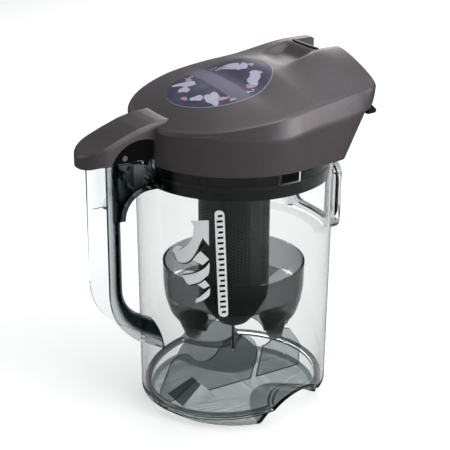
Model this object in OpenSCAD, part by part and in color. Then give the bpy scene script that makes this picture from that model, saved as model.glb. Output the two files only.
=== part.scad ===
// Clear dust bin of a bagless canister vacuum cleaner, with its lid and separator.
// Millimetres. Origin on the bin's axis at the table, +Z up, handle towards -Y.

/* [Bin] */
// Outside radius of the bin wall at the top rim
bin_top_r = 75.3; // [70:0.5:82]
// Outside radius of the bin wall at the bottom
bin_low_r = 73.2; // [68:0.5:80]
// Height of the bin rim above the table
bin_h = 212; // [190:1:230]
// Thickness of the bin wall
bin_wall = 2.4; // [1.8:0.1:3.2]
// Thickness of the floor
floor_t = 2.4; // [1.8:0.1:4]
// Outside radius of the low pan under the wall
pan_r = 68; // [60:0.5:70]
// Rounding of the pan's bottom edge
pan_round = 5; // [2:0.5:7]
// Height of the shoulder at the handle side
shoulder_low = 6.4; // [5:0.5:10]
// Height of the shoulder at the middle and rear
shoulder_high = 14.1; // [10:0.5:18]
// Radius of the arched recess under each side
recess_r = 43.7; // [35:0.5:55]
// Height of the recess where it meets the wall
recess_h = 25.5; // [15:0.5:30]
// Distance of the recess behind the axis
recess_y = 20.5; // [10:0.5:30]

/* [Handle] */
// Width of the handle channel
handle_w = 35; // [30:0.5:40]
// Thickness of the handle channel
handle_t = 2.5; // [2:0.1:3.5]
// Distance of the handle's open edge from the axis
handle_out = 116; // [108:0.5:126]
// Height where the open edge and the lower arm would meet
handle_corner = 84.5; // [75:0.5:100]
// Bend radius of the open edge at the bottom
handle_bend = 50; // [42:0.5:60]
// Slope of the lower arm
arm_slope = 30; // [20:1:40]
// Height of the underside of the upper arm
arm_z = 190; // [180:1:196]
// Height of the top of the handle
handle_top = 212.6; // [208:0.2:213]

/* [Lid] */
// Half width of the lid at the bin's axis
lid_r = 80; // [79:0.5:86]
// Half width of the lid at its rear end
lid_rear_w = 73; // [66:0.5:78]
// Height of the lid's lower edge
lid_z = 206.5; // [204:0.5:209]
// Thickness of the lid shell
lid_t = 2.4; // [2:0.1:3.2]
// Height of the top on the bin's axis
lid_top = 259.5; // [250:0.5:266]
// Rise of the top towards the rear
lid_slope = 12.3; // [8:0.1:15]
// Radius of the crown across the top
crown_r = 330; // [250:5:500]
// Length of the thumb tongue from the axis
tongue_y = 131; // [122:0.5:140]
// Diameter of the round label
label_d = 79; // [60:1:84]

/* [Separator] */
// Outside radius of the black ring
ring_r = 71.9; // [69:0.1:72]
// Height of the ring's lower edge
ring_z = 187; // [180:0.5:190]
// Radius of the filter grille
grille_r = 27.5; // [24:0.5:30]
// Height of the lower end of the grille openings
grille_z = 103.5; // [98:0.5:112]
// Radius of the skirt's rim
skirt_r = 55.3; // [50:0.1:58]
// Height of the skirt's rim
skirt_z = 112.5; // [108:0.5:118]
// Height of the lowest point of the skirt's cones
cone_z = 52; // [49:0.5:58]
// Radius of the guide pin
pin_r = 1.2; // [0.8:0.1:1.6]

/* [Output] */
// Sub-part to show

/* [Hidden] */
$fn = 96;
gap = 0.3;
big = 400;

clear_c = [0.86, 0.89, 0.88, 0.35];
smoke_c = [0.45, 0.52, 0.54, 0.5];
lid_c = [0.36, 0.34, 0.35];
black_c = [0.05, 0.05, 0.055];
dark_c = [0.14, 0.14, 0.15];
grey_c = [0.55, 0.55, 0.56];
silver_c = [0.75, 0.76, 0.76];
label_c = [0.2, 0.2, 0.3];

taper = (bin_top_r - bin_low_r) / bin_h;
shoulder_run = 65;
recess_x = 14;
recess_rise = atan(recess_h / (bin_low_r - recess_x));
handle_r = handle_w / 2;
edge_in = 1.3;
path_y = handle_out + edge_in;
bend_turn = 90 - arm_slope;
bend_leg = handle_bend * tan(bend_turn / 2);
bend_z = handle_corner + bend_leg;
arm_fillet = 20;
arm_fillet_y = -82;
pin_spots = [[-101.9, 204.6], [-97.2, 208.3]];
rivet_r = 2.2;
catch_y0 = -93.5;
catch_y1 = -85.4;

fin_t = 1.8;
slot_w = 3.6;
slot_z = 31;

port_w = 68;
port_h = 55;
port_z = 133;
port_y = bin_top_r + 0.6;
port_round = 9;
port_rim = 8;
seal_t = 1.6;
ledge_z = 132.5;
ledge_t = 3;
ledge_w = 9;
slot_low = 198.5;
slot_half = 8.2;

lid_turn = 8;
lid_rear_y = 82;
lid_corner = 12;
rear_y0 = 55;
rear_lean = 28;
roof_rise = 21;
notch_w = 32;
notch_y = 62;
notch_z = 262;
tongue_w = 35;
tongue_slope = 22.6;
tongue_top = 220.2;
tongue_z = 212.9;
cheek_y = -88;
cheek_z = 203;
cheek_r = 26;
pivot_y = -101.5;
pivot_z = 217.4;
pivot_r = 2;
lever_w = 29;
prong_y = -80.6;
label_y = -13.4;

plate_z = bin_h + gap;
plate_t = 2.2;
hole_r = 20;
ring_wall = 2.4;
ring_top = plate_z;
ring_plate = 2.6;
grille_top = ring_top - ring_plate - gap;
outlet_w = 72;
outlet_z = 218;
outlet_h = 24;
seal_z = 196;
seal_r = 72.4;
lug_w = 14.6;

grille_wall = 2;
window_z1 = 184;
dome_top = 88;
dome_z = 57.2;
cup_wall = 1.8;
cup_low = 71;
cone_out = 38.5;
cone_top_r = 12.2;
arch_r = 22;
cone_end_r = 6.8;

function wall_r(z) = bin_low_r + taper * z;

// a side view (y, z) carried across the part's width
module across(w, x = 0) {
    translate([x - w / 2, 0, 0])
        rotate([90, 0, 90])
            linear_extrude(w)
                children();
}

// a rounded rectangle seen along y, from y0 towards +y
module rear_panel(w, z0, h, r, y0, depth) {
    translate([0, y0 + depth, z0 + h / 2])
        rotate([90, 0, 0])
            linear_extrude(depth)
                union() {
                    square([w, h - 2 * r], center = true);
                    square([w - 2 * r, h], center = true);
                    for (i = [-1, 1])
                        for (k = [-1, 1])
                            translate([i * (w / 2 - r), k * (h / 2 - r)])
                                circle(r);
                }
}

// everything under the sloping shoulder, raised by rise
module under_shoulder(rise = 0) {
    across(big)
        polygon([
            [-120, shoulder_low + rise],
            [-8 - shoulder_run, shoulder_low + rise],
            [-8, shoulder_high + rise],
            [120, shoulder_high + rise],
            [120, -30],
            [-120, -30]
        ]);
}

module recess(grow = 0) {
    for (s = [0, 1])
        mirror([s, 0, 0])
            translate([recess_x, recess_y, 0])
                rotate([0, 90 - recess_rise, 0])
                    translate([recess_r, 0, -60])
                        cylinder(h = 200, r = recess_r + grow);
}

module pan(r, z0, z1, round_r) {
    rotate_extrude()
        union() {
            translate([0, z0])
                square([r - round_r, z1 - z0]);
            translate([0, z0 + round_r])
                square([r, z1 - z0 - round_r]);
            translate([r - round_r, z0 + round_r])
                circle(round_r);
        }
}

module wall_cone(inset, z1) {
    cylinder(h = z1, r1 = bin_low_r - inset, r2 = wall_r(z1) - inset);
}

module bin_body() {
    difference() {
        union() {
            difference() {
                wall_cone(0, bin_h);
                under_shoulder();
            }
            pan(pan_r, 0, shoulder_high + 8, pan_round);
        }
        recess();
    }
}

module bin_cavity() {
    difference() {
        union() {
            difference() {
                wall_cone(bin_wall, bin_h + 1);
                under_shoulder(floor_t);
            }
            pan(pan_r - bin_wall, floor_t, shoulder_high + 12, pan_round - 2);
        }
        recess(floor_t);
    }
}

module port_cut(y0 = 40, depth = 60, grow = 0) {
    rear_panel(port_w - 2 * port_rim + 2 * grow, port_z + port_rim - grow,
        port_h - 2 * port_rim + 2 * grow, port_round + grow, y0, depth);
}

module catch_slots() {
    for (s = [-1, 1])
        translate([s * bin_top_r, 0, slot_low + 10])
            cube([14, 2 * slot_half, 20], center = true);
}

module bin_shell() {
    color(clear_c)
        difference() {
            bin_body();
            bin_cavity();
            port_cut();
            catch_slots();
        }
}

// half pipe section with its open edge on the inner side of the path
module bend_section(r) {
    difference() {
        translate([handle_bend, 0])
            circle(r);
        translate([handle_bend - edge_in, -r - 1])
            square(2 * r + 2);
    }
}

module channel_path(r) {
    translate([0, -path_y, bend_z])
        linear_extrude(handle_top - bend_z)
            difference() {
                circle(r);
                translate([-big / 2, edge_in - big])
                    square(big);
            }
    translate([0, handle_bend - path_y, bend_z])
        rotate([-90, 0, -90])
            rotate_extrude(angle = bend_turn)
                bend_section(r);
}

module foot_path(r) {
    translate([0, handle_bend - path_y, bend_z])
        rotate([-90, 0, -90])
            rotate([0, 0, bend_turn])
                rotate([-90, 0, 0])
                    linear_extrude(44)
                        bend_section(r);
}

// side outline of the upper arm carried across, shrunk by t
module arm_box(t) {
    across(handle_w - 2 * t)
        difference() {
            translate([-112, arm_z - arm_fillet])
                square([42, handle_top - arm_z + arm_fillet + t]);
            translate([arm_fillet_y, arm_z - arm_fillet])
                circle(arm_fillet + t);
            translate([arm_fillet_y, arm_z - arm_fillet - 1])
                square([60, arm_fillet + 1 + t]);
        }
}

module bin_handle() {
    color(smoke_c)
        difference() {
            union() {
                channel_path(handle_r);
                arm_box(0);
            }
            channel_path(handle_r - handle_t);
            difference() {
                arm_box(handle_t);
                translate([0, -path_y, arm_z - 30])
                    cylinder(h = 60, r = handle_r);
            }
            wall_cone(0, bin_h + 10);
            translate([0, 0, lid_z - gap])
                cylinder(h = 20, r = lid_r + gap);
            for (p = pin_spots)
                translate([-handle_w, p[0], p[1]])
                    rotate([0, 90, 0])
                        cylinder(h = 2 * handle_w, r = rivet_r);
        }
}

module handle_foot() {
    color(smoke_c)
        difference() {
            foot_path(handle_r);
            foot_path(handle_r - handle_t);
            wall_cone(0, bin_h + 10);
        }
}

module handle_pins() {
    color(grey_c)
        for (s = [0, 1])
            mirror([s, 0, 0])
                for (p = pin_spots)
                    translate([handle_r - handle_t, p[0], p[1]])
                        rotate([0, 90, 0])
                            cylinder(h = handle_t + 0.4, r = rivet_r);
}

module catch_block() {
    color(dark_c)
        across(handle_w - 2 * handle_t - 0.6)
            polygon([
                [catch_y0, arm_z + handle_t],
                [catch_y1, arm_z + handle_t],
                [catch_y1, 209],
                [catch_y0 + 3, 210.5],
                [catch_y0, 210.5]
            ]);
}

module base_fin_front() {
    color(smoke_c)
        difference() {
            union() {
                across(fin_t)
                    polygon([
                        [-64.6, floor_t],
                        [-66, shoulder_high],
                        [-57.2, 34.4],
                        [-46.8, 33],
                        [-37.2, 35.8],
                        [-25.5, 38],
                        [-13.7, 36],
                        [3, 30],
                        [22.6, 27.3],
                        [22, 19],
                        [17, floor_t]
                    ]);
                translate([-fin_t / 2, -46.8, 29.5])
                    rotate([0, 90, 0])
                        cylinder(h = fin_t, r = 11.5);
                translate([-fin_t / 2, 3, 25.3])
                    rotate([0, 90, 0])
                        cylinder(h = fin_t, r = 19.8);
            }
            translate([-5, -25.5, 43.5])
                rotate([0, 90, 0])
                    cylinder(h = 10, r = 14);
            across(10)
                translate([-slot_w / 2, slot_z])
                    square([slot_w, 30]);
            across(10)
                polygon([[-58.8, 0], [-20.7, 0], [-33.9, 15]]);
        }
}

module base_fin_rear() {
    color(smoke_c)
        across(fin_t)
            polygon([
                [22.6, floor_t],
                [28.7, 29.2],
                [31.7, 28.9],
                [35.5, 31.1],
                [39.5, 37],
                [46, 39.5],
                [54, 38.5],
                [62.2, 26.9],
                [65, 22],
                [65, floor_t + 2],
                [64.4, floor_t]
            ]);
}

module floor_pocket() {
    color(smoke_c)
        difference() {
            across(25)
                polygon([[-53.5, floor_t], [-23.5, floor_t], [-33.9, 14.2]]);
            for (s = [0, 1])
                mirror([s, 0, 0])
                    translate([12.5, -60, floor_t])
                        rotate([0, -24, 0])
                            cube([20, 60, 40]);
        }
}

module inlet_frame() {
    color(clear_c)
        difference() {
            rear_panel(port_w, port_z, port_h, port_round, 55, port_y - 55);
            wall_cone(0, bin_h);
            port_cut();
            for (s = [0, 1])
                mirror([s, 0, 0])
                    translate([port_w / 2 - 5, port_y - 5.6, port_z + 9])
                        cube([10, 3.6, port_h - 18]);
        }
}

module inlet_seal() {
    color(black_c)
        difference() {
            port_cut(port_y, seal_t, 3.6);
            port_cut(port_y - 1, seal_t + 2, 0.6);
        }
}

module scroll_ledge() {
    color(smoke_c)
        rotate([0, 0, 62])
            rotate_extrude(angle = 68)
                polygon([
                    [wall_r(ledge_z) - bin_wall - ledge_w, ledge_z],
                    [wall_r(ledge_z) - bin_wall, ledge_z],
                    [wall_r(ledge_z + ledge_t) - bin_wall, ledge_z + ledge_t],
                    [wall_r(ledge_z) - bin_wall - ledge_w, ledge_z + ledge_t]
                ]);
}

module catch_frames() {
    color(clear_c)
        difference() {
            translate([0, 0, slot_low - 1.4])
                cylinder(h = lid_z - gap - slot_low + 1.4, r = bin_top_r + 1.3);
            wall_cone(0, bin_h);
            for (s = [0, 1])
                mirror([0, s, 0])
                    translate([-big / 2, slot_half + 1.4, 0])
                        cube(big);
            translate([-big / 2, -slot_half, slot_low])
                cube([big, 2 * slot_half, 30]);
        }
}

// a thin skin on the outside of the wall, cut by an outline seen along az
module wall_skin(az, t = 0.4) {
    intersection() {
        difference() {
            wall_cone(-t, bin_h);
            wall_cone(0, bin_h);
        }
        rotate([0, 0, az])
            translate([0, -60, 0])
                rotate([90, 0, 0])
                    linear_extrude(40)
                        children();
    }
}

module gauge_decal() {
    color(silver_c)
        wall_skin(51)
            union() {
                translate([-3.9, 100])
                    square([7.8, 76]);
                translate([0, 100])
                    circle(3.9);
                translate([0, 176])
                    circle(3.9);
            }
}

module airflow_decal() {
    color(silver_c)
        wall_skin(36)
            union() {
                polygon([[-6, 172], [13, 172], [13, 150], [5, 158], [-4, 146], [-17, 147], [-4, 162]]);
                polygon([[-17, 145], [-4, 144], [12, 155], [13, 146], [4, 136], [-9, 136]]);
                polygon([[-9, 127], [12, 144], [14, 134], [5, 123], [-4, 122]]);
                polygon([[-1, 108], [2, 116], [14, 124], [13, 116]]);
            }
}

// plan of the lid's body behind the axis
module lid_plan(i) {
    polygon([
        [(lid_r - i) * cos(lid_turn), (lid_r - i) * sin(lid_turn)],
        [lid_rear_w - i, rear_y0],
        [lid_rear_w - 2 - i, lid_rear_y - lid_corner],
        [lid_rear_w - 2 - lid_corner - i, lid_rear_y - i],
        [-lid_rear_w + 2 + lid_corner + i, lid_rear_y - i],
        [-lid_rear_w + 2 + i, lid_rear_y - lid_corner],
        [-lid_rear_w + i, rear_y0],
        [-(lid_r - i) * cos(lid_turn), (lid_r - i) * sin(lid_turn)]
    ]);
}

// the space under the lid's top, lowered by i
module under_top(i) {
    translate([0, 0, lid_top - i])
        rotate([lid_slope, 0, 0])
            translate([0, 200, -crown_r])
                rotate([90, 0, 0])
                    cylinder(h = 400, r = crown_r);
}

module roof_cut(i) {
    for (s = [0, 1])
        mirror([s, 0, 0])
            translate([22, 74, 272.5 - i])
                rotate([3.2, roof_rise, 0])
                    translate([-big / 2, -big, 0])
                        cube([big, 2 * big, 80]);
}

module lid_form(i) {
    difference() {
        intersection() {
            union() {
                translate([0, 0, i > 0 ? lid_z - 10 : lid_z])
                    cylinder(h = 90, r = lid_r - i);
                difference() {
                    translate([0, 0, i > 0 ? lid_z - 10 : lid_z])
                        linear_extrude(90)
                            lid_plan(i);
                    translate([0, rear_y0 - i, lid_z])
                        rotate([-rear_lean, 0, 0])
                            translate([-big / 2, 0, -60])
                                cube([big, big, 200]);
                }
            }
            under_top(i);
        }
        roof_cut(i);
        translate([-notch_w / 2 - i, notch_y - i, notch_z - i])
            cube([notch_w + 2 * i, 100, 60]);
    }
}

module tongue_form(i) {
    intersection() {
        translate([0, 0, i > 0 ? tongue_z - 10 : tongue_z])
            linear_extrude(60)
                union() {
                    translate([-tongue_w / 2 + i, -tongue_y + tongue_w / 2])
                        square([tongue_w - 2 * i, tongue_y - tongue_w / 2 - 60]);
                    translate([0, -tongue_y + tongue_w / 2])
                        circle(tongue_w / 2 - i);
                }
        across(big)
            polygon([
                [-tongue_y - 5, 190],
                [-tongue_y - 5, tongue_top - i - 5 * tan(tongue_slope)],
                [-72, tongue_top - i + (tongue_y - 72) * tan(tongue_slope)],
                [-60, tongue_top - i + (tongue_y - 72) * tan(tongue_slope)],
                [-60, 190]
            ]);
    }
}

module lid_cover() {
    color(lid_c)
        difference() {
            union() {
                lid_form(0);
                difference() {
                    tongue_form(0);
                    translate([0, 0, 100])
                        cylinder(h = 200, r = lid_r - lid_t);
                }
            }
            lid_form(lid_t);
            difference() {
                tongue_form(lid_t);
                translate([0, 0, 100])
                    cylinder(h = 200, r = lid_r);
            }
            difference() {
                across(2 * tongue_w)
                    translate([cheek_y, cheek_z])
                        circle(cheek_r);
                translate([0, 0, 100])
                    cylinder(h = 200, r = lid_r);
            }
            outlet_cut();
            label_disc(0.6);
        }
}

module outlet_cut() {
    translate([-outlet_w / 2, 60, outlet_z])
        cube([outlet_w, 40, outlet_h]);
}

module label_disc(t) {
    intersection() {
        difference() {
            translate([0, 0, 0.3])
                under_top(0);
            under_top(t - 0.3);
        }
        translate([0, label_y, 200])
            cylinder(h = 100, r = label_d / 2);
    }
}

module lid_label() {
    color(label_c)
        label_disc(0.6);
}

module lid_plate() {
    color(black_c)
        translate([0, 0, plate_z])
            difference() {
                cylinder(h = plate_t, r = lid_r - lid_t - gap);
                translate([0, 0, -1])
                    cylinder(h = plate_t + 2, r = hole_r);
            }
}

module exhaust_filter() {
    color(grey_c)
        translate([-56, -34, plate_z + plate_t])
            cube([112, 84, 26]);
}

module outlet_grille() {
    color(black_c)
        difference() {
            intersection() {
                translate([0, 0, outlet_z])
                    cylinder(h = outlet_h, r = lid_r - 0.6);
                outlet_cut();
            }
            cylinder(h = big, r = lid_r - 0.2 - lid_t);
            for (k = [0:9])
                translate([-outlet_w / 2 + 3.3 + 7.2 * k, 50, outlet_z + 2.5])
                    cube([4.6, 50, outlet_h - 5]);
        }
}

module rear_tab() {
    color(black_c)
        difference() {
            across(7, 66)
                polygon([[70, 236.4], [77.8, 236.8], [78.7, 239], [75, 242.6], [70, 242.6]]);
            lid_form(0);
        }
}

module latch_cheeks() {
    color(black_c)
        for (s = [0, 1])
            mirror([s, 0, 0])
                difference() {
                    across(2.4, tongue_w / 2 - 1.3)
                        difference() {
                            intersection() {
                                translate([cheek_y, cheek_z])
                                    circle(cheek_r);
                                translate([-120, 213.8])
                                    square([40.5, 30]);
                            }
                            translate([pivot_y, pivot_z])
                                circle(pivot_r);
                        }
                    translate([0, 0, 100])
                        cylinder(h = 200, r = lid_r);
                }
}

module lever_pin() {
    color(grey_c)
        translate([-tongue_w / 2 - 0.2, pivot_y, pivot_z])
            rotate([0, 90, 0])
                cylinder(h = tongue_w + 0.4, r = pivot_r);
}

module lever_spring() {
    color(grey_c)
        translate([0, -117, 217])
            difference() {
                cylinder(h = 5, r = 2.6);
                translate([0, 0, -1])
                    cylinder(h = 7, r = 1.8);
            }
}

module release_lever() {
    color(black_c)
        difference() {
            across(lever_w)
                difference() {
                    union() {
                        polygon([
                            [-123, 213.6],
                            [-123, 215.4],
                            [-112, 216.6],
                            [-106, 221.5],
                            [-98, 223],
                            [-82, 221],
                            [prong_y, 219],
                            [prong_y, 213.4],
                            [-112, 213.4]
                        ]);
                    }
                    translate([pivot_y, pivot_z])
                        circle(pivot_r + 0.06);
                }
            translate([0, -tongue_y + tongue_w / 2, 200])
                difference() {
                    translate([-40, -40, 0])
                        cube([80, 40, 40]);
                    cylinder(h = 50, r = lever_w / 2);
                }
        }
    color(black_c)
        for (s = [-1, 1])
            translate([s * 11 - 2, prong_y - 2.4, 207.4])
                cube([4, 2.4, 7]);
}

module separator_ring() {
    color(black_c)
        difference() {
            translate([0, 0, ring_z])
                cylinder(h = ring_top - ring_z, r = ring_r);
            translate([0, 0, ring_z - 1])
                cylinder(h = ring_top - ring_plate - ring_z + 1, r = ring_r - ring_wall);
            translate([0, 0, ring_z])
                cylinder(h = 60, r = hole_r);
            translate([0, 0, seal_z - 1])
                difference() {
                    cylinder(h = 2, r = ring_r + 5);
                    cylinder(h = 2, r = ring_r - 1);
                }
        }
}

module ring_seal() {
    color(dark_c)
        translate([0, 0, seal_z - 1])
            difference() {
                cylinder(h = 2, r = seal_r);
                translate([0, 0, -1])
                    cylinder(h = 4, r = ring_r - 1);
            }
}

module side_lugs() {
    color(black_c)
        for (s = [0, 1])
            mirror([s, 0, 0])
                difference() {
                    translate([60, -lug_w / 2, slot_low + 0.8])
                        cube([15.6, lug_w, 6.6]);
                    translate([0, 0, 150])
                        cylinder(h = 100, r = ring_r);
                }
}

module filter_grille() {
    color(black_c)
        difference() {
            translate([0, 0, dome_top])
                cylinder(h = grille_top - dome_top, r = grille_r);
            translate([0, 0, dome_top - 1])
                cylinder(h = 200, r = grille_r - grille_wall);
            for (q = [0:3])
                rotate([0, 0, 45 + 90 * q])
                    for (k = [0:4])
                        rotate([0, 0, (k - 2) * 11])
                            translate([-1.3, -grille_r - 4, grille_z])
                                cube([2.6, 10, window_z1 - grille_z]);
        }
}

module inner_filter() {
    color(dark_c)
        difference() {
            translate([0, 0, dome_top])
                cylinder(h = grille_top - 0.4 - dome_top, r = grille_r - grille_wall - 0.5);
            translate([0, 0, dome_top + 4])
                cylinder(h = 200, r = 12);
        }
}

module dome_solid() {
    rotate_extrude()
        polygon([
            [0, dome_z],
            [12, 60.5],
            [18.8, 68.5],
            [24.6, 79],
            [grille_r, dome_top],
            [0, dome_top]
        ]);
}

module lower_dome() {
    color(black_c)
        dome_solid();
}

module guide_pin() {
    color(grey_c)
        difference() {
            translate([0, 0, slot_z + 3])
                cylinder(h = dome_z - slot_z, r = pin_r);
            dome_solid();
        }
}

module cup_side(i) {
    rotate_extrude()
        polygon([
            [0, cup_low + i],
            [49 - i, cup_low + i],
            [50.5 - i, 73.5 + i],
            [53.5 - i, 83.5],
            [skirt_r - 0.5 - i, 93.5],
            [skirt_r - 0.3 - i, 98.5],
            [skirt_r - i, i > 0 ? skirt_z + 5 : skirt_z],
            [0, i > 0 ? skirt_z + 5 : skirt_z]
        ]);
}

module separator_skirt() {
    color(smoke_c)
        difference() {
            cup_side(0);
            cup_side(cup_wall);
            for (q = [-30, 90, 210])
                rotate([0, 0, q])
                    translate([0, 0, cup_low - 3])
                        rotate([0, 90, 0])
                            cylinder(h = 100, r = arch_r);
            dome_solid();
        }
}

module skirt_cones() {
    color(smoke_c)
        for (q = [-90, 30, 150])
            rotate([0, 0, q])
                translate([cone_out - 2, 0, cone_z + cone_end_r]) {
                    cylinder(h = cup_low - cone_z - cone_end_r, r1 = cone_end_r, r2 = cone_top_r);
                    sphere(cone_end_r);
                }
}

bin_shell();
bin_handle();
handle_foot();
handle_pins();
catch_block();
base_fin_front();
base_fin_rear();
floor_pocket();
inlet_frame();
inlet_seal();
scroll_ledge();
catch_frames();
airflow_decal();
gauge_decal();
lid_cover();
lid_label();
lid_plate();
exhaust_filter();
outlet_grille();
rear_tab();
latch_cheeks();
lever_pin();
lever_spring();
separator_ring();
ring_seal();
side_lugs();
release_lever();
filter_grille();
inner_filter();
separator_skirt();
skirt_cones();
lower_dome();
guide_pin();
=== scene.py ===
import math

import bmesh
import bpy
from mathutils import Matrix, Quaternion, Vector


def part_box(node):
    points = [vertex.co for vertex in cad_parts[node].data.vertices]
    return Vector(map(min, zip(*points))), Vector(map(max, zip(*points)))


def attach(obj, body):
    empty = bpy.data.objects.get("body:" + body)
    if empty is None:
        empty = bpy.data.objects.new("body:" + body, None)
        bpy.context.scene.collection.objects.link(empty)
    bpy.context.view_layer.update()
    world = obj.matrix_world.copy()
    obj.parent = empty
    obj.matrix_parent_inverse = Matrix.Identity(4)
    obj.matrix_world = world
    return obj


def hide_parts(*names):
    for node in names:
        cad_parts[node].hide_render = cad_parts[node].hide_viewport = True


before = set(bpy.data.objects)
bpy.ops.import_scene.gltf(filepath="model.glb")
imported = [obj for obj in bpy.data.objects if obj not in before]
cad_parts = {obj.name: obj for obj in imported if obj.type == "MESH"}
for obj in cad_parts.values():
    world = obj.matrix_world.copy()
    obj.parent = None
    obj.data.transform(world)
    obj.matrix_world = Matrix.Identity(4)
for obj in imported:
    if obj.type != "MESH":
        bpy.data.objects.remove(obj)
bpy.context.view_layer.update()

mm = 0.001
print("frame loaded")


# small tools

def deselectAll():
    if bpy.context.object and bpy.context.object.mode != "OBJECT":
        bpy.ops.object.mode_set(mode="OBJECT")
    bpy.ops.object.select_all(action="DESELECT")


def pickOnly(piece):
    deselectAll()
    piece.select_set(True)
    bpy.context.view_layer.objects.active = piece


def nameIt(piece, name):
    piece.name = name
    piece.data.name = name
    return piece


def cleanMesh(piece, gap=0.00001, outward=True):
    pickOnly(piece)
    bpy.ops.object.mode_set(mode="EDIT")
    bpy.ops.mesh.select_all(action="SELECT")
    bpy.ops.mesh.remove_doubles(threshold=gap)
    if outward:
        bpy.ops.mesh.normals_make_consistent(inside=False)
    bpy.ops.object.mode_set(mode="OBJECT")


def useModifier(piece, kind, **settings):
    pickOnly(piece)
    modifier = piece.modifiers.new(kind, kind)
    for key, value in settings.items():
        setattr(modifier, key, value)
    bpy.ops.object.modifier_apply(modifier=modifier.name)


def smooth(piece, angle=30):
    pickOnly(piece)
    bpy.ops.object.shade_smooth_by_angle(angle=math.radians(angle))


def placeMesh(piece):  # puts the object's place into its mesh
    pickOnly(piece)
    bpy.ops.object.transform_apply(location=True, rotation=True, scale=True)


def cutAway(piece, cutter, operation="DIFFERENCE"):
    useModifier(piece, "BOOLEAN", operation=operation, solver="EXACT", object=cutter)
    bpy.data.objects.remove(cutter)


def formSheet(name, across, along, place):
    # a unit grid whose points are then carried to place(u, v), in millimetres
    deselectAll()
    bpy.ops.mesh.primitive_grid_add(x_subdivisions=across, y_subdivisions=along, size=1)
    sheet = nameIt(bpy.context.object, name)
    for vert in sheet.data.vertices:
        vert.co = Vector(place(vert.co.x + 0.5, vert.co.y + 0.5)) * mm
    sheet.data.update()
    return sheet


def boxTool(low, high):
    deselectAll()
    middle = [(a + b) / 2 * mm for a, b in zip(low, high)]
    bpy.ops.mesh.primitive_cube_add(size=1, location=middle)
    tool = bpy.context.object
    tool.scale = [(b - a) * mm for a, b in zip(low, high)]
    placeMesh(tool)
    return tool


def rodTool(radius, start, end, vertices=96):
    deselectAll()
    start, end = Vector(start) * mm, Vector(end) * mm
    bpy.ops.mesh.primitive_cylinder_add(vertices=vertices, radius=radius * mm,
                                        depth=(end - start).length, location=(start + end) / 2)
    tool = bpy.context.object
    tool.rotation_mode = "QUATERNION"
    tool.rotation_quaternion = (end - start).to_track_quat("Z", "Y")
    placeMesh(tool)
    return tool


def joinAll(name, parts):
    pickOnly(parts[0])
    for part in parts[1:]:
        part.select_set(True)
    if len(parts) > 1:
        bpy.ops.object.join()
    return nameIt(bpy.context.object, name)


def finishPiece(piece, body, finish, replaced=()):
    piece.data.materials.clear()
    for item in finish if isinstance(finish, (list, tuple)) else [finish]:
        piece.data.materials.append(item)
    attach(piece, body)
    if replaced:
        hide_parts(*replaced)
    return piece


def ease(value, low, high):
    t = min(1, max(0, (value - low) / (high - low)))
    return t * t * (3 - 2 * t)


def lerp(a, b, t):
    return a + (b - a) * t


def alongList(points, value):  # height on a smooth line through (place, height) pairs
    if value <= points[0][0]:
        return points[0][1]
    for (a, za), (b, zb) in zip(points, points[1:]):
        if value <= b:
            return lerp(za, zb, (value - a) / (b - a))
    return points[-1][1]


# camera, light and floor

view = {
    "place": (0.8262, -0.5163, 0.5317),
    "target": (0.0, 0.0, 0.1095),
    "roll": 0.43,
    "lens": 108.96,
    "shiftX": -0.0192,
    "shiftY": 0.0814,
}


def setCamera():
    data = bpy.data.cameras.new("camera")
    camera = bpy.data.objects.new("camera", data)
    bpy.context.scene.collection.objects.link(camera)
    place = Vector(view["place"])
    look = (Vector(view["target"]) - place).to_track_quat("-Z", "Y")
    camera.location = place
    camera.rotation_mode = "QUATERNION"
    camera.rotation_quaternion = look @ Quaternion((0, 0, 1), math.radians(view["roll"]))
    data.lens = view["lens"]
    data.sensor_width = 36
    data.shift_x = view["shiftX"]
    data.shift_y = view["shiftY"]
    data.clip_end = 50
    bpy.context.scene.camera = camera


def softBox(name, place, target, width, height, power, tint=(1, 1, 1)):
    data = bpy.data.lights.new(name, "AREA")
    data.shape = "RECTANGLE"
    data.size = width
    data.size_y = height
    data.energy = power
    data.color = tint
    lamp = bpy.data.objects.new(name, data)
    bpy.context.scene.collection.objects.link(lamp)
    lamp.location = place
    lamp.rotation_mode = "QUATERNION"
    lamp.rotation_quaternion = (Vector(target) - Vector(place)).to_track_quat("-Z", "Y")


studio = {
    "world": (0.16, 0.165, 0.17),
    "floor": (0.90, 0.90, 0.90),
    "floorGlow": 0.42,
    "mirrored": (0.10, 0.10, 0.105),
    "floorSize": 12,
    "bounces": 28,
    "lamps": [  # name, place, target, width, height, power
        ("top", (0.15, 0.2, 1.5), (0, 0, 0.1), 1.3, 1.3, 9.5),
        ("right", (1.3, 0.9, 0.9), (0, 0, 0.2), 0.7, 1.1, 5),
        ("left", (-0.9, -1.2, 0.8), (0, 0, 0.2), 0.6, 1.1, 2.4),
        ("crown", (0.72, 0.2, 1.15), (0, 0, 0.25), 0.3, 0.3, 2.6),
        ("low", (1.35, 0.78, 0.34), (0, 0, 0.25), 0.5, 0.45, 6),
        ("back", (-1.1, 0.9, 0.9), (0, 0, 0.2), 0.7, 0.9, 6),
    ],
}


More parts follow.
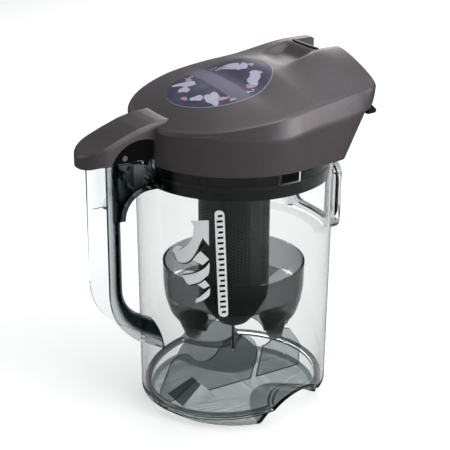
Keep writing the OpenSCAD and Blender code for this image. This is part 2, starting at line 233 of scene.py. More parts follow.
def setStudio():
    scene = bpy.context.scene
    scene.view_settings.view_transform = "Standard"
    scene.cycles.max_bounces = studio["bounces"]
    scene.cycles.transmission_bounces = studio["bounces"]
    scene.cycles.transparent_max_bounces = studio["bounces"]
    world = bpy.data.worlds.new("studio")
    scene.world = world
    world.use_nodes = True
    world.node_tree.nodes["Background"].inputs["Color"].default_value = (*studio["world"], 1)
    world.node_tree.nodes["Background"].inputs["Strength"].default_value = 1.0
    for name, place, target, width, height, power in studio["lamps"]:
        softBox(name, place, target, width, height, power)
    deselectAll()
    bpy.ops.mesh.primitive_plane_add(size=studio["floorSize"])
    floor = nameIt(bpy.context.object, "floor")
    finish = bpy.data.materials.new("paleFloor")
    finish.use_nodes = True
    shader = finish.node_tree.nodes["Principled BSDF"]
    shader.inputs["Base Color"].default_value = (*studio["floor"], 1)
    shader.inputs["Roughness"].default_value = 0.9
    nodes, links = finish.node_tree.nodes, finish.node_tree.links
    path = nodes.new("ShaderNodeLightPath")  # the paper glows a little, and mirrors see it darker
    glow = nodes.new("ShaderNodeEmission")
    glow.inputs["Strength"].default_value = studio["floorGlow"]
    lit = nodes.new("ShaderNodeAddShader")
    links.new(shader.outputs["BSDF"], lit.inputs[0])
    links.new(glow.outputs["Emission"], lit.inputs[1])
    dim = nodes.new("ShaderNodeEmission")
    dim.inputs["Color"].default_value = (*studio["mirrored"], 1)
    mix = nodes.new("ShaderNodeMixShader")
    only = nodes.new("ShaderNodeMath")
    only.operation = "SUBTRACT"
    only.use_clamp = True
    links.new(path.outputs["Is Glossy Ray"], only.inputs[0])
    links.new(path.outputs["Is Transmission Ray"], only.inputs[1])
    links.new(only.outputs[0], mix.inputs[0])
    links.new(lit.outputs["Shader"], mix.inputs[1])
    links.new(dim.outputs["Emission"], mix.inputs[2])
    links.new(mix.outputs["Shader"], nodes["Material Output"].inputs["Surface"])
    floor.data.materials.append(finish)


setCamera()
setStudio()
print("camera and studio set")


# finishes

def newFinish(name, sockets):
    finish = bpy.data.materials.new(name)
    finish.use_nodes = True
    shader = finish.node_tree.nodes["Principled BSDF"]
    for label, value in sockets.items():
        shader.inputs[label].default_value = value
    return finish


def addNoise(finish, size, detail=3):  # size is the grain's size in metres
    nodes, links = finish.node_tree.nodes, finish.node_tree.links
    place = nodes.new("ShaderNodeTexCoord")
    noise = nodes.new("ShaderNodeTexNoise")
    noise.inputs["Scale"].default_value = 1 / size
    noise.inputs["Detail"].default_value = detail
    links.new(place.outputs["Object"], noise.inputs["Vector"])
    return noise.outputs["Fac"]


def addRange(finish, source, low, high, fromLow=0.3, fromHigh=0.7):
    nodes, links = finish.node_tree.nodes, finish.node_tree.links
    span = nodes.new("ShaderNodeMapRange")
    span.inputs["From Min"].default_value = fromLow
    span.inputs["From Max"].default_value = fromHigh
    span.inputs["To Min"].default_value = low
    span.inputs["To Max"].default_value = high
    links.new(source, span.inputs["Value"])
    return span.outputs["Result"]


def addMix(finish, factor, first, second):
    nodes, links = finish.node_tree.nodes, finish.node_tree.links
    mix = nodes.new("ShaderNodeMix")
    mix.data_type = "RGBA"
    if hasattr(factor, "links"):
        links.new(factor, mix.inputs[0])
    else:
        mix.inputs[0].default_value = factor
    for socket, value in ((mix.inputs[6], first), (mix.inputs[7], second)):
        if hasattr(value, "links"):
            links.new(value, socket)
        else:
            socket.default_value = (*value, 1)
    return mix.outputs[2]


def addBump(finish, source, strength, depth):
    nodes, links = finish.node_tree.nodes, finish.node_tree.links
    bump = nodes.new("ShaderNodeBump")
    bump.inputs["Strength"].default_value = strength
    bump.inputs["Distance"].default_value = depth
    links.new(source, bump.inputs["Height"])
    links.new(bump.outputs["Normal"], nodes["Principled BSDF"].inputs["Normal"])


def linkTo(finish, source, label):
    finish.node_tree.links.new(source, finish.node_tree.nodes["Principled BSDF"].inputs[label])


def grainyFinish(name, dark, light, rough, grain, bump, more=None):
    finish = newFinish(name, more or {})
    fine = addNoise(finish, grain)
    broad = addNoise(finish, grain * 40, 2)
    linkTo(finish, addMix(finish, addRange(finish, fine, 0, 1), dark, light), "Base Color")
    linkTo(finish, addRange(finish, broad, rough[0], rough[1]), "Roughness")
    addBump(finish, fine, bump, grain * 0.3)
    return finish


# the line along which the clear bin gets a painted dark line
shoulder = {
    "lowY": -73 * mm,  # the shoulder climbs from here to highY
    "highY": -8 * mm,
    "low": 6.4 * mm,
    "high": 14.1 * mm,
    "half": 0.9 * mm,
}


def clearFinish(name, tint, absorb, density, rough=(0.015, 0.04), floorTint=None, shine=0.1,
                paintedShade=None, edge=None, ior=1.18):
    # clear plastic: tinted by its depth, and lamps shine through it
    finish = newFinish(name, {"Transmission Weight": 1.0, "IOR": ior, "Specular IOR Level": shine})
    nodes, links = finish.node_tree.nodes, finish.node_tree.links
    shader = nodes["Principled BSDF"]
    haze = addNoise(finish, 0.02, 2)
    linkTo(finish, addRange(finish, haze, rough[0], rough[1]), "Roughness")
    colour = addMix(finish, addRange(finish, haze, 0, 1), tint, [c * 0.985 for c in tint])
    if floorTint:
        shape = nodes.new("ShaderNodeNewGeometry")
        up = nodes.new("ShaderNodeSeparateXYZ")
        links.new(shape.outputs["True Normal"], up.inputs["Vector"])
        place = nodes.new("ShaderNodeTexCoord")
        high = nodes.new("ShaderNodeSeparateXYZ")
        links.new(place.outputs["Object"], high.inputs["Vector"])
        both = nodes.new("ShaderNodeMath")
        both.operation = "MULTIPLY"
        links.new(addRange(finish, up.outputs["Z"], 0, 1, 0.1, 0.4), both.inputs[0])
        links.new(addRange(finish, high.outputs["Z"], 1, 0, 0.028, 0.034), both.inputs[1])
        colour = addMix(finish, both.outputs[0], colour, floorTint)
        lean = addRange(finish, high.outputs["Y"], shoulder["low"], shoulder["high"],
                        shoulder["lowY"], shoulder["highY"])
        off = nodes.new("ShaderNodeMath")  # painted shade: distance from the leaning shoulder line, along which a dark line is painted
        off.operation = "SUBTRACT"
        links.new(high.outputs["Z"], off.inputs[0])
        links.new(lean, off.inputs[1])
        span = nodes.new("ShaderNodeMath")
        span.operation = "ABSOLUTE"
        links.new(off.outputs[0], span.inputs[0])
        # painted shade: a dark line along the bin's lower shoulder
        line = addRange(finish, span.outputs[0], 1, 0, shoulder["half"] * 0.7, shoulder["half"])
        colour = addMix(finish, line, colour, (0.02, 0.022, 0.022))
    if edge:  # painted shade: the cut edge of an upright plate is coloured dark
        shape = nodes.new("ShaderNodeNewGeometry")
        side = nodes.new("ShaderNodeSeparateXYZ")
        links.new(shape.outputs["True Normal"], side.inputs["Vector"])
        flat = nodes.new("ShaderNodeMath")
        flat.operation = "ABSOLUTE"
        links.new(side.outputs["X"], flat.inputs[0])
        colour = addMix(finish, addRange(finish, flat.outputs[0], 1, 0, 0.4, 0.6), colour, edge)
    if paintedShade:  # painted shade where the moulding folds over, read from a point attribute
        deep = nodes.new("ShaderNodeAttribute")
        deep.attribute_name = "paintedShade"
        colour = addMix(finish, deep.outputs["Fac"], colour, paintedShade)
    linkTo(finish, colour, "Base Color")
    output = nodes["Material Output"]
    path = nodes.new("ShaderNodeLightPath")
    through = nodes.new("ShaderNodeBsdfTransparent")
    through.inputs["Color"].default_value = (*[c * 0.93 for c in tint], 1)
    mix = nodes.new("ShaderNodeMixShader")
    links.new(path.outputs["Is Shadow Ray"], mix.inputs[0])
    links.new(shader.outputs["BSDF"], mix.inputs[1])
    links.new(through.outputs["BSDF"], mix.inputs[2])
    links.new(mix.outputs["Shader"], output.inputs["Surface"])
    depth = nodes.new("ShaderNodeVolumeAbsorption")
    depth.inputs["Color"].default_value = (*absorb, 1)
    depth.inputs["Density"].default_value = density
    links.new(depth.outputs["Volume"], output.inputs["Volume"])
    return finish


# clearPlastic also gets the painted dark line along its shoulder
clearPlastic = clearFinish("clearPlastic", (0.955, 0.965, 0.962), (0.50, 0.535, 0.53), 70,
                           floorTint=(0.24, 0.265, 0.27))
# the smoke plastic mixes in a painted shade colour, read from a point attribute
smokePlastic = clearFinish("smokePlastic", (0.955, 0.975, 0.975), (0.30, 0.38, 0.40), 45,
                           paintedShade=(0.012, 0.018, 0.021), ior=1.08)
# the fins get painted shade on their cut edges
finPlastic = clearFinish("finPlastic", (0.60, 0.625, 0.63), (0.34, 0.38, 0.40), 160,
                         edge=(0.03, 0.035, 0.035), ior=1.1)
hazePlastic = clearFinish("hazePlastic", (0.93, 0.94, 0.945), (0.45, 0.50, 0.51), 30, ior=1.03)
pocketPlastic = grainyFinish("pocketPlastic", (0.20, 0.225, 0.23), (0.25, 0.275, 0.28), (0.2, 0.3), 0.001,
                             0.02)
cupPlastic = clearFinish("cupPlastic", (0.50, 0.508, 0.51), (0.30, 0.31, 0.31), 280, (0.05, 0.1), ior=1.1)
blackPlastic = grainyFinish("blackPlastic", (0.0015, 0.0015, 0.002), (0.003, 0.003, 0.0035), (0.26, 0.34),
                            0.0005, 0.03, {"Specular IOR Level": 0.12})
satinBlack = grainyFinish("satinBlack", (0.005, 0.005, 0.0055), (0.008, 0.008, 0.0085), (0.4, 0.5),
                          0.0005, 0.05, {"Specular IOR Level": 0.15})
shroudBlack = grainyFinish("shroudBlack", (0.024, 0.024, 0.025), (0.032, 0.032, 0.033), (0.4, 0.5),
                           0.0005, 0.05, {"Specular IOR Level": 0.15})
softRubber = grainyFinish("softRubber", (0.006, 0.006, 0.006), (0.012, 0.012, 0.012), (0.6, 0.72),
                          0.0004, 0.1, {"Specular IOR Level": 0.2})
filterFoam = grainyFinish("filterFoam", (0.02, 0.02, 0.021), (0.09, 0.09, 0.092), (0.9, 1.0), 0.0012, 0.7)
turnedSteel = grainyFinish("turnedSteel", (0.48, 0.48, 0.49), (0.6, 0.6, 0.61), (0.2, 0.3), 0.0003, 0.05,
                           {"Metallic": 1.0})
darkSmoke = grainyFinish("darkSmoke", (0.012, 0.016, 0.018), (0.022, 0.027, 0.03), (0.12, 0.2), 0.0006, 0.04)
silverPrint = grainyFinish("silverPrint", (0.78, 0.79, 0.79), (0.88, 0.89, 0.89), (0.45, 0.55), 0.0004, 0.03)


def lidFinish():  # satin paint with fine metal flakes
    finish = newFinish("lidPaint", {"Metallic": 0.55, "Specular IOR Level": 0.5})
    nodes, links = finish.node_tree.nodes, finish.node_tree.links
    place = nodes.new("ShaderNodeTexCoord")
    flakes = nodes.new("ShaderNodeTexVoronoi")
    flakes.inputs["Scale"].default_value = 3200
    links.new(place.outputs["Object"], flakes.inputs["Vector"])
    tone = nodes.new("ShaderNodeSeparateColor")
    links.new(flakes.outputs["Color"], tone.inputs["Color"])
    broad = addNoise(finish, 0.03, 2)
    base = addMix(finish, addRange(finish, tone.outputs[0], 0, 1, 0, 1), (0.092, 0.081, 0.087),
                  (0.136, 0.121, 0.128))
    cloudy = addMix(finish, addRange(finish, broad, 0, 0.12), base, (0.155, 0.138, 0.146))
    linkTo(finish, cloudy, "Base Color")
    linkTo(finish, addRange(finish, tone.outputs[1], 0.34, 0.44, 0, 1), "Roughness")
    addBump(finish, tone.outputs[2], 0.05, 0.0001)
    return finish


lidPaint = lidFinish()


# the lid

lid = {
    "radius": 79.5,  # half width at the front
    "sideTurn": 4,  # degrees behind the axis where the straight side starts
    "sideIn": 0.11,  # how fast the side runs inwards
    "rear": 81.2,
    "rearBand": 77.5,
    "bottom": 206.6,
    "bottomIn": 1.7,
    "creaseIn": 3.4,
    "creaseRound": 2.6,
    "ridge": 20,  # half distance between the two rear ridges
    "ridgeTop": 274.6,
    "roofBulge": 1.32,
    "notchFront": 61.5,
    "notchHalf": 16.2,
    "notchFloor": 262,
    "wall": 1.3,
    "around": 288,
    "along": 84,
    "creaseZ": 247.2,  # height of the crease beside the axis
    "creaseClimb": 0.162,
    "kinkY": 20,  # the crease climbs less behind here
    "rearClimb": 0.11,
    "cornerZ": 239.5,  # the rear wall leans inwards below this height
    "rearLow": 55,
    "rearLean": 0.53,
    "bandLean": 0.22,
    "cornerPower": 16,  # how tight the rear corners are
}


def creaseHeight(y):
    front = min(y, lid["kinkY"]) * lid["creaseClimb"]
    return lid["creaseZ"] + front + max(0, y - lid["kinkY"]) * lid["rearClimb"]


def bandHeight(y):  # how tall the light band under the crease is
    return 9 * ease(y, -66, -30) + 3.5 * ease(y, -35, 0) + 2.0 * ease(y, 0, 70)


def lidReach(turn, z):
    # distance of the outline from the axis in direction turn, at height z
    c, s = math.cos(turn), math.sin(turn)
    c = abs(c)
    edge = math.radians(lid["sideTurn"])
    if math.asin(s) <= edge:
        return lid["radius"]
    atTurn = lid["radius"] * (math.cos(edge) + lid["sideIn"] * math.sin(edge))
    side = atTurn / (c + lid["sideIn"] * s)
    if z > lid["cornerZ"]:
        rearY = min(lid["rear"], lid["rearBand"] + (z - lid["cornerZ"]) * lid["bandLean"])
    else:
        rearY = lid["rearLow"] + lid["rearLean"] * (z - lid["bottom"] + 0.1)
    rear = rearY / max(s, 0.01)
    power = lid["cornerPower"]
    both = (side ** -power + rear ** -power) ** (-1 / power)
    if z > lid["cornerZ"]:
        return both
    return max(both, min(lid["radius"], side))


def creaseHalf(y):
    edge = math.radians(lid["sideTurn"])
    full = lid["radius"] * math.cos(edge)
    return full - lid["sideIn"] * max(0, y - lid["radius"] * math.sin(edge)) - lid["creaseIn"]


def topHeight(x, y):
    x = abs(x)
    base = creaseHeight(y)
    share = math.hypot(x, min(0, y)) / (lid["radius"] - lid["creaseIn"] * 0.5)
    share = lerp(share, x / creaseHalf(y), ease(y, -25, 25))
    share = min(1, share)
    rise = lerp(11.6, 10.6, ease(y, -60, -10)) + 4.4 * ease(y, -10, 36) + 1.6 * ease(y, 36, 70)
    dome = base + rise * (1 - share ** lerp(2.2, 1.7, ease(y, -20, 40)))
    ridgeHeight = lerp(266.0, lid["ridgeTop"], ease(y, 22, 66))
    down = max(0, x - lid["ridge"]) / (creaseHalf(y) - lid["ridge"])
    roof = base + (ridgeHeight - base) * (1 - min(1, down) ** lid["roofBulge"])
    inside = max(0, 1 - x / lid["ridge"])
    valley = ease(y, 26, 47) * 4.6 * ease(inside, 0, 0.5)
    valley *= 1 - 0.86 * ease(y, 48.5, 61)
    roof -= valley
    amount = ease(y, -8, 50)
    height = lerp(dome, roof, amount)
    return max(height, base + 0.2)


def lidPoint(u, v):
    turn = -math.pi / 2 + 2 * math.pi * u
    s = math.sin(turn)
    high = lidReach(turn, 260)
    topShare, creaseShare, bandShare = 0.62, 0.70, 0.80
    yEdge = high * s
    inset = lid["creaseIn"] * lerp(0.25, 1, ease(yEdge, -70, -25)) * (1 - ease(yEdge, 70, 79))
    curve = lid["creaseRound"]
    edge = high - inset - curve
    if v <= topShare:  # the top, from the middle out to the crease
        reach = edge * (v / topShare) ** 0.9
        x, y = reach * math.cos(turn), reach * s
        return x, y, topHeight(x, y)
    xCrease, yCrease = edge * math.cos(turn), edge * s
    zCrease = topHeight(xCrease, yCrease)
    rearward = ease(yEdge, 66, 76)
    zBand = lerp(creaseHeight(yEdge) - bandHeight(yEdge) - 0.8, 240.2, rearward)
    drop = curve * 0.95
    zBand = min(zBand, zCrease - drop - 0.6)
    if v <= creaseShare:  # the crease's rounding
        t = (v - topShare) / (creaseShare - topShare)
        reach = edge + (curve + 0.45) * math.sin(t * math.pi / 2)
        z = zCrease - drop * (1 - math.cos(t * math.pi / 2))
        return reach * math.cos(turn), reach * s, z
    if v <= bandShare:  # the band
        t = (v - creaseShare) / (bandShare - creaseShare)
        z = lerp(zCrease - drop, zBand, t)
        reach = lerp(high - inset + 0.45, lidReach(turn, z + 0.3), t ** 0.9)
        return reach * math.cos(turn), reach * s, z
    t = (v - bandShare) / (1 - bandShare)  # the wall below it
    z = lerp(zBand - 0.9, lid["bottom"], t)
    reach = lidReach(turn, z) - lid["bottomIn"] * t
    return reach * math.cos(turn), reach * s, z


def makeLid():
    shell = formSheet("lidShell", lid["around"], lid["along"], lidPoint)
    cleanMesh(shell)
    pickOnly(shell)
    bpy.ops.object.mode_set(mode="EDIT")
    bpy.ops.mesh.select_all(action="DESELECT")
    bpy.ops.mesh.select_non_manifold()
    bpy.ops.mesh.edge_face_add()
    bpy.ops.mesh.select_all(action="SELECT")
    bpy.ops.mesh.normals_make_consistent(inside=False)
    bpy.ops.object.mode_set(mode="OBJECT")
    half, front, floor = lid["notchHalf"], lid["notchFront"], lid["notchFloor"]
    cutAway(shell, boxTool((-half, front, floor), (half, 120, 300)))
    pickOnly(shell)
    work = bmesh.new()
    work.from_mesh(shell.data)
    under = [f for f in work.faces
             if f.normal.z < -0.9 and f.calc_center_median().z < (lid["bottom"] + 0.2) * mm]
    bmesh.ops.delete(work, geom=under, context="FACES")
    work.to_mesh(shell.data)
    work.free()
    useModifier(shell, "SOLIDIFY", thickness=lid["wall"] * mm, offset=-1)
    low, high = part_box("outlet_grille")
    grille = boxTool([low[0] / mm, 60, low[2] / mm], [high[0] / mm, 100, high[2] / mm])
    cutAway(shell, grille)
    smooth(shell, 24)
    return finishPiece(shell, "lid", lidPaint, ["lid_cover"])


tongue = {
    "half": 17.4,
    "tip": -130.9,
    "back": -52,
    "bottom": 213.0,
    "tipDrop": 2.4,
    "edge": 2.6,
    "line": [(-131, 220.6), (-126, 223.0), (-104, 231.8), (-90, 236.8), (-80, 239.0), (-74, 239.9),
             (-68, 240.2), (-60, 239.8), (-52, 236.5)],
    "dish": (0, -116.5),
    "wall": 2.0,
    "archY": -88,
    "archZ": 203,
    "archR": 26,
}


def tonguePoint(u, v):
    half, tip, back = tongue["half"], tongue["tip"], tongue["back"]
    front = tip + half
    straight = back - front
    total = 2 * straight + math.pi * half
    run = u * total
    if run < straight:
        edge, spine = (half, back - run), (0, back - run)
    elif run < straight + math.pi * half:
        turn = (run - straight) / half
        edge = (half * math.cos(turn), front - half * math.sin(turn))
        spine = (0, front)
    else:
        y = front + run - straight - math.pi * half
        edge, spine = (-half, y), (0, y)
    topShare = 0.68
    share = (v / topShare) ** 0.75 if v <= topShare else 1
    x = lerp(spine[0], edge[0], share)
    y = lerp(spine[1], edge[1], share)
    z = alongList(tongue["line"], y)
    inside = half * (1 - share)
    radius = tongue["edge"]
    if inside < radius:
        z -= radius - math.sqrt(max(0, radius ** 2 - (radius - inside) ** 2))
    dx, dy = (x - tongue["dish"][0]) / 12.5, (y - tongue["dish"][1]) / 12
    z -= 1.3 * math.exp(-(dx * dx + dy * dy) ** 1.4)
    if v > topShare:
        low = tongue["bottom"] - tongue["tipDrop"] * ease(-y, 119, 131)
        z = lerp(z, low, (v - topShare) / (1 - topShare))
    return x, y, z


def makeTongue():
    shell = formSheet("thumbTongue", 150, 40, tonguePoint)
    cleanMesh(shell)
    useModifier(shell, "SOLIDIFY", thickness=tongue["wall"] * mm, offset=-1)
    arch = rodTool(tongue["archR"], (-40, tongue["archY"], tongue["archZ"]),
                   (40, tongue["archY"], tongue["archZ"]), 128)
    cutAway(arch, rodTool(79.0, (0, 0, 150), (0, 0, 300), 160))
    cutAway(shell, arch)
    smooth(shell, 32)
    return finishPiece(shell, "lid", lidPaint)


def makeSlotLip():  # dark strip along the front of the rear notch
    half, front = lid["notchHalf"], lid["notchFront"]
    lip = boxTool((-half + 0.2, front - 0.6, 268), (half - 0.2, front + 2.2, 274.9))
    useModifier(lip, "BEVEL", width=0.4 * mm, segments=2)
    smooth(lip)
    nameIt(lip, "slotLip")
    return finishPiece(lip, "lid", blackPlastic)


makeLid()
makeTongue()
makeSlotLip()
print("lid modelled")


# the round label on the lid

label = {
    "centre": (0, -13.4),
    "radius": 39.3,
    "proud": 0.2,
    "thick": 0.35,
    "bandHalf": 6.4,
    "bandTurn": 4,
    "rim": 0.5,
}


def labelFinish():  # dark ground, a pale rim, and a lighter band across the middle
    half, edge = label["bandHalf"] * mm, (label["radius"] - label["rim"]) * mm
    blur = 0.0002
    cx, cy = [c * mm for c in label["centre"]]
    finish = newFinish("labelPrint", {"Roughness": 0.42, "Specular IOR Level": 0.3})
    nodes, links = finish.node_tree.nodes, finish.node_tree.links
    place = nodes.new("ShaderNodeTexCoord")
    shift = nodes.new("ShaderNodeMapping")
    shift.inputs["Location"].default_value = (-cx, -cy, 0)
    shift.inputs["Rotation"].default_value = (0, 0, math.radians(label["bandTurn"]))
    shift.inputs["Scale"].default_value = (1, 1, 0)
    links.new(place.outputs["Object"], shift.inputs["Vector"])
    reach = nodes.new("ShaderNodeVectorMath")
    reach.operation = "LENGTH"
    links.new(shift.outputs["Vector"], reach.inputs[0])
    split = nodes.new("ShaderNodeSeparateXYZ")
    links.new(shift.outputs["Vector"], split.inputs["Vector"])
    band = nodes.new("ShaderNodeMath")
    band.operation = "ABSOLUTE"
    links.new(split.outputs["Y"], band.inputs[0])
    cloud = addNoise(finish, 0.014, 3)
    ground = addMix(finish, addRange(finish, cloud, 0, 1), (0.022, 0.022, 0.05), (0.075, 0.075, 0.135))
    banded = addMix(finish, addRange(finish, band.outputs[0], 1, 0, half - blur, half + blur), ground,
                    (0.125, 0.115, 0.185))
    outer = addRange(finish, reach.outputs["Value"], 0, 1, edge - blur / 2, edge + blur / 2)
    rim = addMix(finish, outer, banded, (0.26, 0.23, 0.34))
    linkTo(finish, rim, "Base Color")
    return finish


def onLid(x, y, lift):
    return x, y, topHeight(x, y) + lift


def makeLabel():
    cx, cy = label["centre"]

    def place(u, v):
        turn = 2 * math.pi * u
        reach = label["radius"] * v
        return onLid(cx + reach * math.cos(turn), cy + reach * math.sin(turn), label["proud"])

    disc = formSheet("lidLabel", 120, 26, place)
    cleanMesh(disc)
    useModifier(disc, "SOLIDIFY", thickness=label["thick"] * mm, offset=-1)
    smooth(disc, 40)
    return finishPiece(disc, "lid", labelFinish(), ["lid_label"])


makeLabel()
print("label modelled")


# the handle, one moulding, with painted shade on its cut edges

# painted shade: an opaque dark finish for the handle's cut rim and the faces against the bin wall
paintedShadeBlack = grainyFinish("paintedShadeBlack", (0.006, 0.007, 0.008), (0.012, 0.014, 0.015), (0.15, 0.25), 0.0006, 0.03)

handle = {
    "bend": (-67.3, 113.4),
    "reach": 48.7,
    "foot": 60,
    "bevel": 0.5,
}


def copyNode(name, newName):
    deselectAll()
    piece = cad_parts[name].copy()
    piece.data = piece.data.copy()
    bpy.context.scene.collection.objects.link(piece)
    piece.parent = None
    placeMesh(piece)
    cleanMesh(piece)
    return nameIt(piece, newName)


def makeHandle():
    piece = copyNode("bin_handle", "handleShell")
    cutAway(piece, copyNode("handle_foot", "handleFoot"), "UNION")
    cleanMesh(piece)
    useModifier(piece, "BEVEL", width=handle["bevel"] * mm, segments=2, limit_method="ANGLE",
                angle_limit=math.radians(50), harden_normals=False)
    smooth(piece, 32)
    finishPiece(piece, "bin", [smokePlastic, paintedShadeBlack], ["bin_handle", "handle_foot"])
    by, bz = handle["bend"]
    turn = math.radians(handle["foot"])
    # painted shade: the near wall is darkened, most towards the finger side and under the arm
    paintedShade = piece.data.attributes.new("paintedShade", "FLOAT", "POINT")
    for vert in piece.data.vertices:
        spot = vert.co / mm
        dy, dz = spot.y - by, spot.z - bz
        angle = 0 if spot.z > bz else min(turn, max(0, math.atan2(-dz, -dy)))
        deep = handle["reach"] + dy * math.cos(angle) + dz * math.sin(angle)
        near = 17.5 - deep  # how far in from the finger side
        shade = 0.40 + 0.60 * (1 - ease(near, 9.5, 14))
        if spot.z > 150 and spot.y > -101.5:
            inside = math.hypot(min(0, spot.y + 82), max(0, spot.z - 170)) - 20
            shade = 1 if inside < 3 else 0.45
        paintedShade.data[vert.index].value = shade * ease(spot.x, -9, 4)
    # the cut rim and the faces against the bin wall take the painted shade finish
    for face in piece.data.polygons:
        spot = face.center / mm
        out = None
        if spot.z > bz and spot.z < 196:
            out = -spot.y - 115.6
            faces = face.normal.y < -0.6
        else:
            dy, dz = spot.y - by, spot.z - bz
            angle = min(turn, max(0, math.atan2(-dz, -dy)))
            out = -dy * math.cos(angle) - dz * math.sin(angle) - handle["reach"] + 0.4
            faces = -face.normal.y * math.cos(angle) - face.normal.z * math.sin(angle) > 0.6
        onRim = out is not None and out > 0 and faces and spot.z < 196 and abs(spot.x) > 16.6
        onWall = math.hypot(spot.x, spot.y) < 78 and spot.z < 100 and \
            -(face.normal.x * spot.x + face.normal.y * spot.y) > 0.7 * math.hypot(spot.x, spot.y)
        if onRim or onWall:
            face.material_index = 1


makeHandle()
print("handle modelled")


# the perforated shroud and its dome

shroud = {
    "radius": 27.5,
    "wall": 1.0,
    "columns": 60,
    "row": 2.7,
    "rows": 31,
    "firstZ": 102.0,
    "bottom": 88.0,
    "top": 209.4,
    "hole": 0.92,
    "panel": 12,  # columns from one panel to the next
    "open": 8,  # columns with holes in a panel
    "turn": -28,
}


def makeShroud():
    radius, step = shroud["radius"], math.radians(360 / shroud["columns"])
    half, row = step / 2, shroud["row"]
    start = math.radians(shroud["turn"]) - step * shroud["open"] / 2
    points, faces = [], []

    def add(turn, z):
        points.append((radius * math.cos(turn) * mm, radius * math.sin(turn) * mm, z * mm))
        return len(points) - 1

    for column in range(shroud["columns"]):
        middle = start + (column + 0.5) * step
        holed = column % shroud["panel"] < shroud["open"]
        shift = row / 2 * (column % 2)
        firstZ = shroud["firstZ"] + shift
        lastZ = firstZ + row * shroud["rows"]
        ends = [(shroud["bottom"], firstZ, shift), (lastZ, shroud["top"], row / 2 - shift)]
        for low, high, part in ends:
            inner = []
            if part and low == shroud["bottom"]:
                inner = [high - row / 2]
            if part and high == shroud["top"]:
                inner = [low + row / 2]
            for a, b in ((middle - half, middle), (middle, middle + half)):
                heights = [low] + inner + [high]
                for z0, z1 in zip(heights, heights[1:]):
                    faces.append([add(a, z0), add(b, z0), add(b, z1), add(a, z1)])
        for place in range(shroud["rows"]):
            z = firstZ + (place + 0.5) * row
            rim = [(half, 0), (half, 0.5), (0, 0.5), (-half, 0.5), (-half, 0), (-half, -0.5),
                   (0, -0.5), (half, -0.5)]
            outer = [add(middle + a, z + h * row) for a, h in rim]
            if holed:
                ring = []
                for k in range(8):
                    angle = k * math.pi / 4
                    ring.append(add(middle + shroud["hole"] * math.cos(angle) / radius,
                                    z + shroud["hole"] * math.sin(angle)))
                for k in range(8):
                    n = (k + 1) % 8
                    faces.append([ring[k], outer[k], outer[n], ring[n]])
            else:
                faces.append([outer[k] for k in (6, 7, 0, 1, 2)])
                faces.append([outer[k] for k in (2, 3, 4, 5, 6)])
    data = bpy.data.meshes.new("shroudTube")
    data.from_pydata(points, [], faces)
    tube = bpy.data.objects.new("shroudTube", data)
    bpy.context.scene.collection.objects.link(tube)
    cleanMesh(tube)
    useModifier(tube, "SOLIDIFY", thickness=shroud["wall"] * mm, offset=-1)
    smooth(tube, 32)
    return finishPiece(tube, "separator", shroudBlack, ["filter_grille"])


def lathe(name, line, around=128):  # line is (radius, height) pairs from the outside inwards
    count = len(line) - 1

    def place(u, v):
        turn = 2 * math.pi * u
        at = min(count - 1, int(v * count + 0.0001))
        share = v * count - at
        radius = lerp(line[at][0], line[at + 1][0], share)
        height = lerp(line[at][1], line[at + 1][1], share)
        return radius * math.cos(turn), radius * math.sin(turn), height

    piece = formSheet(name, around, count, place)
    cleanMesh(piece)
    return piece


def makeDome():
    keys = [(27.5, 87.9), (27.2, 85), (26.3, 82), (24.6, 79), (22, 73.4), (18.8, 68.5), (15.2, 64),
            (12, 60.5), (8.4, 58.4), (4.5, 57.5), (0, 57.2)]
    line = []
    for (r0, z0), (r1, z1) in zip(keys, keys[1:]):
        line += [(lerp(r0, r1, t / 3), lerp(z0, z1, t / 3)) for t in range(3)]
    line += [(0.0, 57.2)]
    line = [(0.0, 87.9), (26.9, 87.9)] + [(min(r, 27.3), z) for r, z in line]
    dome = lathe("shroudDome", line)
    smooth(dome, 30)
    return finishPiece(dome, "separator", satinBlack, ["lower_dome"])


cup = {
    "floor": [(51.6, 88.4), (46, 88.8), (38, 89.4), (27.7, 90.2)],
    "wall": 1.2,
}


def makeCupFloor():  # the ledge inside the skirt, above its arches
    ledge = lathe("skirtFloor", cup["floor"], 144)
    useModifier(ledge, "SOLIDIFY", thickness=cup["wall"] * mm, offset=-1)
    smooth(ledge, 40)
    return finishPiece(ledge, "separator", cupPlastic)


makeShroud()
makeDome()
makeCupFloor()
print("shroud modelled")


# prints on the bin wall

prints = {
    "radius": 74.62,
    "thick": 0.12,
    "line": 0.75,  # degrees, width of the dark outlines
}


def curveAt(points, t):  # smooth curve through the points
    count = len(points) - 1
    at = min(count - 1, int(t * count))
    t = t * count - at
    p0, p1 = points[max(0, at - 1)], points[at]
    p2, p3 = points[at + 1], points[min(count, at + 2)]
    return tuple(0.5 * (2 * b + (c - a) * t + (2 * a - 5 * b + 4 * c - d) * t * t
                        + (3 * b - a - 3 * c + d) * t ** 3) for a, b, c, d in zip(p0, p1, p2, p3))


def wallStrip(name, left, right, lift=0.0, along=24, across=6):
    def place(u, v):
        a, b = curveAt(left, v), curveAt(right, v)
        turn = math.radians(lerp(a[0], b[0], u))
        z = lerp(a[1], b[1], u)
        radius = prints["radius"] + (z - 140) * 0.0099 + lift
        return radius * math.cos(turn), radius * math.sin(turn), z

    strip = formSheet(name, across, along, place)
    cleanMesh(strip)
    useModifier(strip, "SOLIDIFY", thickness=prints["thick"] * mm, offset=0)
    return strip


def outline(name, points, lift=0.16):
    wide = prints["line"]
    return wallStrip(name, points, [(a + wide, z - 0.55) for a, z in points], lift, 24, 1)


